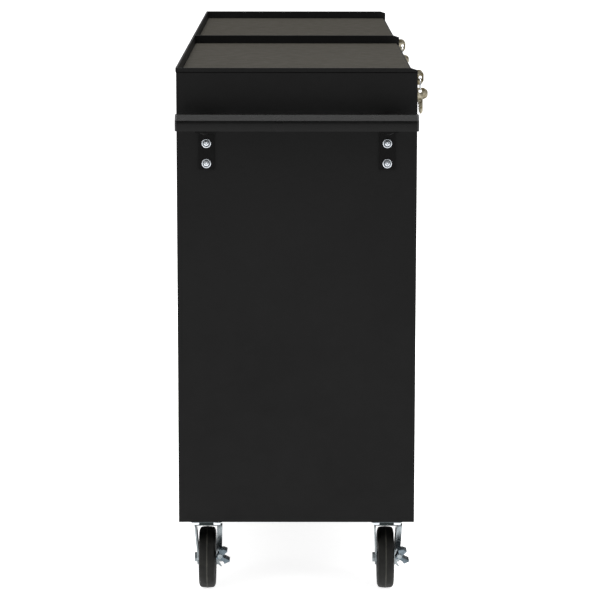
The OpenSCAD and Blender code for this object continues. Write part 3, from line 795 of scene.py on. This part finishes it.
def key_parts():
    """A key lying along +Y from its bow's end, flat in the YZ plane."""
    bow = [(0, 5.2), (3.4, 10.4), (6.5, 11.25), (11, 11.25), (14.2, 10.4), (17, 5.4)]
    bow += [(x, -y) for x, y in reversed(bow)]
    bow = soften([(x * MM, y * MM) for x, y in bow], 3 * MM)
    ring = [(8.5 * MM + (x - 8.5 * MM) * 0.8, y * 0.86) for x, y in bow]
    blade = [(15, 4), (21, 4), (22.4, 2.6), (24, 3.4), (26, 1.9), (28, 3.1), (30, 1.8), (32, 2.9)]
    blade += [(33.4, 1.4), (34.8, 2.4), (36.6, 1.1), (39, -0.4), (38.6, -2), (35, -4), (15, -4)]
    blade = soften([(x * MM, y * MM) for x, y in blade], 0.5 * MM, steps=2)
    hole = circle(2.5 * MM, (5 * MM, 0))
    eye = circle(3.3 * MM, (5 * MM, 0))
    flat = [
        plate([bow, hole], -0.85 * MM, 0.85 * MM, 0.25 * MM),
        plate([bow, ring], -1.1 * MM, 1.1 * MM, 0.2 * MM),
        plate([eye, hole], -1.1 * MM, 1.1 * MM, 0.15 * MM),
        plate([blade], -1.05 * MM, 1.05 * MM, 0.2 * MM),
    ]
    groove = block((19 * MM, -1.9 * MM, 0.55 * MM), (42 * MM, -0.5 * MM, 1.6 * MM))
    flat[3] = cut(flat[3], groove)
    lay = Matrix(((0, 0, 1, 0), (1, 0, 0, 0), (0, 1, 0, 0), (0, 0, 0, 1)))
    return [(moved(mesh, lay), KEY) for mesh in flat]


def make_locks():
    key = key_parts()
    axis_z = sum(v.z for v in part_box("lock_housings")) / 2
    collar = [(5.6, -1.5), (6.4, -2), (9.4, -2), (11.5, -1), (11.5, 0), (9.3, 0)]
    collar += [(9.3, 22), (5.6, 22)]
    collar = soften([(r * MM, y * MM) for r, y in collar], 0.35 * MM)
    plug = [(0, -2.3), (5.2, -2.3), (5.5, -1.9), (5.5, 25), (3, 25), (3, 309), (8, 309)]
    plug += [(8, 312), (0, 312)]
    plug = soften([(r * MM, y * MM) for r, y in plug], 0.3 * MM, closed=False)
    slit = block((-1.15 * MM, -4.05 * MM, -4 * MM), (1.15 * MM, 4.05 * MM, 20 * MM))
    thin, near, far = 1.5 * MM, 311.9 * MM, 322.2 * MM
    pin = soften([(0, near), (thin, near), (thin, far), (0, far)], 0.2 * MM, closed=False)
    pin = lathe(pin, steps=24)
    collar = lathe(collar, closed=True)
    plug = cut(lathe(plug, steps=64), slit)
    nut = hexagon(13.5 * MM, 4.1 * MM, 9.35 * MM, 96)
    into = turn(-90, "X")
    housing = []
    for side in SIDES:
        low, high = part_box(f"lock_plug_{side}")
        x = sum(v.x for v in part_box(f"spare_key_{side}")) / 2
        place = shift(x, FRONT, axis_z)
        housing.append((moved(collar, place, into), ZINC_BRIGHT))
        housing.append((moved(nut, place, shift(0, 0.9 * MM, 0), into), ZINC_BRIGHT))
        parts = [(moved(plug, place, into), ZINC_BRIGHT)]
        parts.append((moved(pin, place, turn(45, "Y"), shift(5 * MM, 0, 0), into), ZINC))
        bow_end = shift(x, low.y, axis_z)
        parts += [(moved(mesh, bow_end), material) for mesh, material in key]
        node = f"lock_plug_{side}"
        piece(f"lock_plug_and_key_{side}", parts, node, [node])

        node = f"spare_key_{side}"
        low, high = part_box(node)
        ring_y = (low.y + high.y) / 2
        ring_z = high.z - 9.45 * MM
        wire, out = 0.42 * MM, 8.95 * MM
        coil = []
        for k in range(97):
            angle = math.radians(15 * k + 40)
            lift = (k / 96 - 0.5) * 1.5 * wire
            across, up = out * math.cos(angle), out * math.sin(angle)
            coil.append((x + across, ring_y + lift, ring_z + up))
        parts = [(tube(coil, wire), ZINC_BRIGHT)]
        hang = shift(x, ring_y, low.z + KEY_LENGTH) @ turn(-90, "X")
        parts += [(moved(mesh, hang), material) for mesh, material in key]
        piece(f"ring_and_key_{side}", parts, node, [node])
    piece("lock_collars", housing, "cabinet", ["lock_housings"])


make_locks()


# ---- camera, at the photograph's viewing angle ----


def make_camera():
    """Looks squarely at the handle end from a little above the trays, placed from the panel
    and the tray's lip, as solved from the photograph's edges."""
    end_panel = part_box("body_shell_left")[0]
    lip_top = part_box("top_tray_left")[1].z
    distance, sideways, above = 3.418, 0.1688, 0.289
    yaw, pitch, roll = (math.radians(a) for a in (0.139, 9.029, 0.061))
    level = math.cos(pitch)
    ahead = Vector((math.cos(yaw) * level, -math.sin(yaw) * level, -math.sin(pitch)))
    right = ahead.cross(Vector((0, 0, 1))).normalized()
    up = right.cross(ahead)
    side = right * math.cos(roll) + up * math.sin(roll)
    top = up * math.cos(roll) - right * math.sin(roll)
    data = bpy.data.cameras.new("camera")
    data.sensor_width = 36
    data.lens = 150.5
    data.shift_y = -0.08
    data.clip_end = 200
    camera = bpy.data.objects.new("camera", data)
    bpy.context.scene.collection.objects.link(camera)
    axes = Matrix((side, top, -ahead)).transposed().to_4x4()
    axes.translation = (end_panel.x - distance, end_panel.y + sideways, lip_top + above)
    camera.matrix_world = axes
    bpy.context.scene.camera = camera


make_camera()


# ---- floor and light ----


def make_floor():
    """A plain pale floor, with a glow of its own that brings it up to the photograph's white."""
    glow = 0.86
    shape = bmesh.new()
    bmesh.ops.create_grid(shape, x_segments=1, y_segments=1, size=60)
    data = to_mesh(shape, "floor")
    floor = bpy.data.objects.new("floor", data)
    bpy.context.scene.collection.objects.link(floor)
    pale = Finish("floor", Roughness=0.9, Specular_IOR_Level=0.1)
    cloud = pale.noise(2, 2)
    pale.drive("Base Color", pale.blend(cloud, (0.80, 0.80, 0.80, 1), (0.82, 0.82, 0.82, 1)))
    pale.shader.inputs["Emission Color"].default_value = (1, 1, 1, 1)
    pale.shader.inputs["Emission Strength"].default_value = glow
    data.materials.append(pale.material)


def make_softbox(name, place, target, size, watts):
    data = bpy.data.lights.new(name, "AREA")
    data.shape = "RECTANGLE"
    data.size, data.size_y = size
    data.energy = watts
    lamp = bpy.data.objects.new(name, data)
    bpy.context.scene.collection.objects.link(lamp)
    away = Vector(target) - Vector(place)
    lamp.rotation_mode = "QUATERNION"
    lamp.rotation_quaternion = away.to_track_quat("-Z", "Y")
    lamp.location = place


def make_world():
    """Grey room light, stronger from above; the camera itself sees it white."""
    world = bpy.data.worlds.new("studio")
    world.use_nodes = True
    tree = world.node_tree
    tree.nodes.clear()
    output = tree.nodes.new("ShaderNodeOutputWorld")
    mix = tree.nodes.new("ShaderNodeMixShader")
    path = tree.nodes.new("ShaderNodeLightPath")
    room = tree.nodes.new("ShaderNodeBackground")
    way = tree.nodes.new("ShaderNodeTexCoord")
    parts = tree.nodes.new("ShaderNodeSeparateXYZ")
    rise = tree.nodes.new("ShaderNodeMapRange")
    for key, value in (("From Min", 0.05), ("From Max", 0.9), ("To Min", 0.16), ("To Max", 0.75)):
        rise.inputs[key].default_value = value
    tree.links.new(way.outputs["Generated"], parts.inputs[0])
    tree.links.new(parts.outputs["Z"], rise.inputs["Value"])
    tree.links.new(rise.outputs[0], room.inputs["Strength"])
    seen = tree.nodes.new("ShaderNodeBackground")
    seen.inputs["Color"].default_value = (1, 1, 1, 1)
    room.inputs["Color"].default_value = (1, 1, 1, 1)
    tree.links.new(path.outputs["Is Camera Ray"], mix.inputs[0])
    tree.links.new(room.outputs[0], mix.inputs[1])
    tree.links.new(seen.outputs[0], mix.inputs[2])
    tree.links.new(mix.outputs[0], output.inputs[0])
    bpy.context.scene.world = world


make_floor()
make_world()
make_softbox("overhead", (0.2, 0, 2.8), (0.1, 0, 0.5), (3.0, 2.2), 90)
make_softbox("left_box", (-2.6, 2.2, 1.6), (-0.6, 0, 0.4), (1.2, 1.6), 18)
make_softbox("right_box", (-2.4, -2.4, 1.8), (-0.6, 0, 0.4), (1.2, 1.6), 18)
bpy.context.scene.view_settings.view_transform = "Standard"
